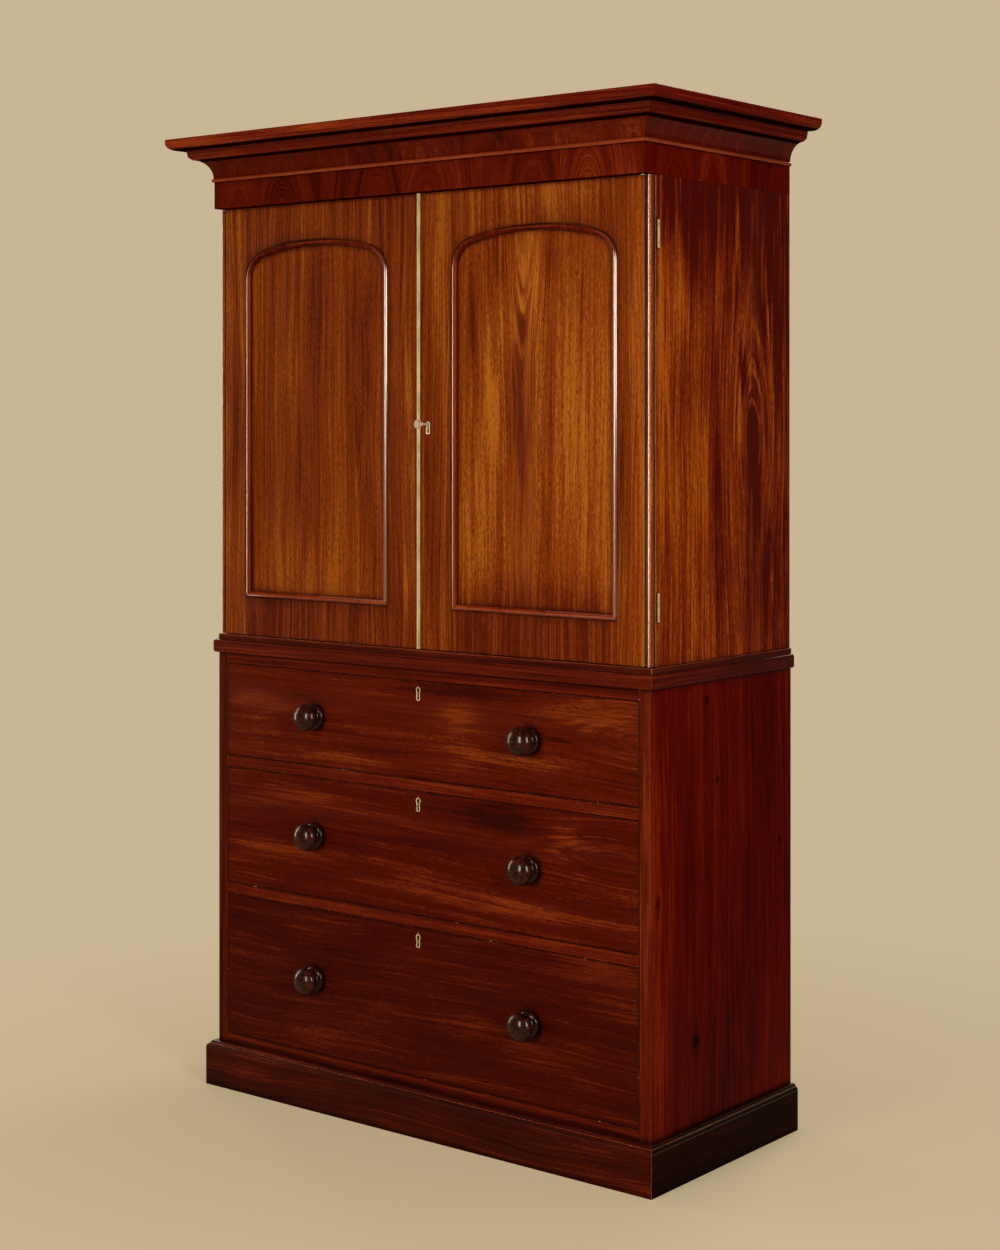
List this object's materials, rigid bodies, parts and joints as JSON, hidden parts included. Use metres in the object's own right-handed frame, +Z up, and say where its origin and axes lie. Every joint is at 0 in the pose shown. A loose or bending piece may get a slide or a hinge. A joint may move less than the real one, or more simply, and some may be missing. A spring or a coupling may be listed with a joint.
{
  "type": "linen press",
  "caption": "Free-standing mahogany linen press: a moulded cornice over a cupboard with arched panel doors and sliding trays, on a chest of long drawers with turned knobs and a plinth.",
  "frame": {"origin": "floor plane under the middle of the overall box, which the cornice and the back bound", "axes": "+Z up, -Y towards the front with the doors and drawers, +X to the right as seen from the front"},
  "size_m": [1.319, 0.6068, 2.1016],
  "materials": {
    "mahogany_warm": "french polished, orange brown ribbon grain",
    "mahogany_red": "french polished, red brown",
    "mahogany_dark": "french polished, deep red brown",
    "pine": "unfinished, aged",
    "rosewood": "turned and polished, glossy",
    "brass": "pale, softly polished",
    "steel": "worn, dull"
  },
  "bodies": {
    "case": {"plinth_front": "mahogany_dark", "plinth_left": "mahogany_dark", "plinth_right": "mahogany_dark", "plinth_back": "pine", "chest_side_left": "mahogany_dark", "chest_side_right": "mahogany_dark", "chest_back": "pine", "chest_bottom": "pine", "dustboard_lower": "pine", "dustboard_upper": "pine", "rail_bottom": "mahogany_red", "rail_lower": "mahogany_red", "rail_upper": "mahogany_red", "rail_top": "mahogany_red", "waist_slab": "mahogany_red", "cupboard_bottom": "mahogany_dark", "cupboard_side_left": "mahogany_warm", "cupboard_side_right": "mahogany_warm", "cupboard_top": "pine", "cupboard_back": "pine", "cornice_front": "mahogany_red", "cornice_left": "mahogany_red", "cornice_right": "mahogany_red", "right_case_leaf_lower": "brass", "right_case_leaf_upper": "brass", "left_case_leaf_lower": "brass", "left_case_leaf_upper": "brass"},
    "right_door": {"right_door_frame": "mahogany_warm", "right_door_panel": "mahogany_warm", "right_door_bead": "mahogany_red", "meeting_strip": "brass", "right_door_leaf_lower": "brass", "right_door_leaf_upper": "brass", "lock_case": "brass", "door_escutcheon": "brass"},
    "left_door": {"left_door_frame": "mahogany_warm", "left_door_panel": "mahogany_warm", "left_door_bead": "mahogany_red", "left_door_leaf_lower": "brass", "left_door_leaf_upper": "brass"},
    "drawer_1": {"drawer_1_front": "mahogany_red", "drawer_1_box": "pine", "drawer_1_knob_left": "rosewood", "drawer_1_knob_right": "rosewood", "drawer_1_escutcheon": "brass"},
    "drawer_2": {"drawer_2_front": "mahogany_red", "drawer_2_box": "pine", "drawer_2_knob_left": "rosewood", "drawer_2_knob_right": "rosewood", "drawer_2_escutcheon": "brass"},
    "drawer_3": {"drawer_3_front": "mahogany_red", "drawer_3_box": "pine", "drawer_3_knob_left": "rosewood", "drawer_3_knob_right": "rosewood", "drawer_3_escutcheon": "brass"},
    "tray_1": {"tray_1": "pine"},
    "tray_2": {"tray_2": "pine"},
    "tray_3": {"tray_3": "pine"},
    "key": {"key": "steel"},
    "lock_bolt": {"lock_bolt": "brass"}
  },
  "joints": [
    {"name": "right_door_hinge", "type": "hinge", "parent": "case", "child": "right_door", "pos_m": [0.5855, -0.18445, 1.47575], "axis": [0, 0, 1], "range_deg": [0, 170]},
    {"name": "left_door_hinge", "type": "hinge", "parent": "case", "child": "left_door", "pos_m": [-0.5855, -0.18445, 1.47575], "axis": [0, 0, -1], "range_deg": [0, 170]},
    {"name": "drawer_1_slide", "type": "slide", "parent": "case", "child": "drawer_1", "axis": [0, -1, 0], "range_m": [0, 0.36]},
    {"name": "drawer_2_slide", "type": "slide", "parent": "case", "child": "drawer_2", "axis": [0, -1, 0], "range_m": [0, 0.36]},
    {"name": "drawer_3_slide", "type": "slide", "parent": "case", "child": "drawer_3", "axis": [0, -1, 0], "range_m": [0, 0.36]},
    {"name": "tray_1_slide", "type": "slide", "parent": "case", "child": "tray_1", "axis": [0, -1, 0], "range_m": [0, 0.024]},
    {"name": "tray_2_slide", "type": "slide", "parent": "case", "child": "tray_2", "axis": [0, -1, 0], "range_m": [0, 0.024]},
    {"name": "tray_3_slide", "type": "slide", "parent": "case", "child": "tray_3", "axis": [0, -1, 0], "range_m": [0, 0.024]},
    {"name": "key_turn", "type": "hinge", "parent": "right_door", "child": "key", "pos_m": [0.024, -0.2056, 1.4695], "axis": [0, 1, 0], "range_deg": [0, 360]},
    {"name": "bolt_throw", "type": "slide", "parent": "right_door", "child": "lock_bolt", "axis": [-1, 0, 0], "range_m": [0, 0.01]}
  ],
  "couplings": [
    {"joint": "bolt_throw", "follows": "key_turn", "m_per_rad": 0.00159}
  ]
}
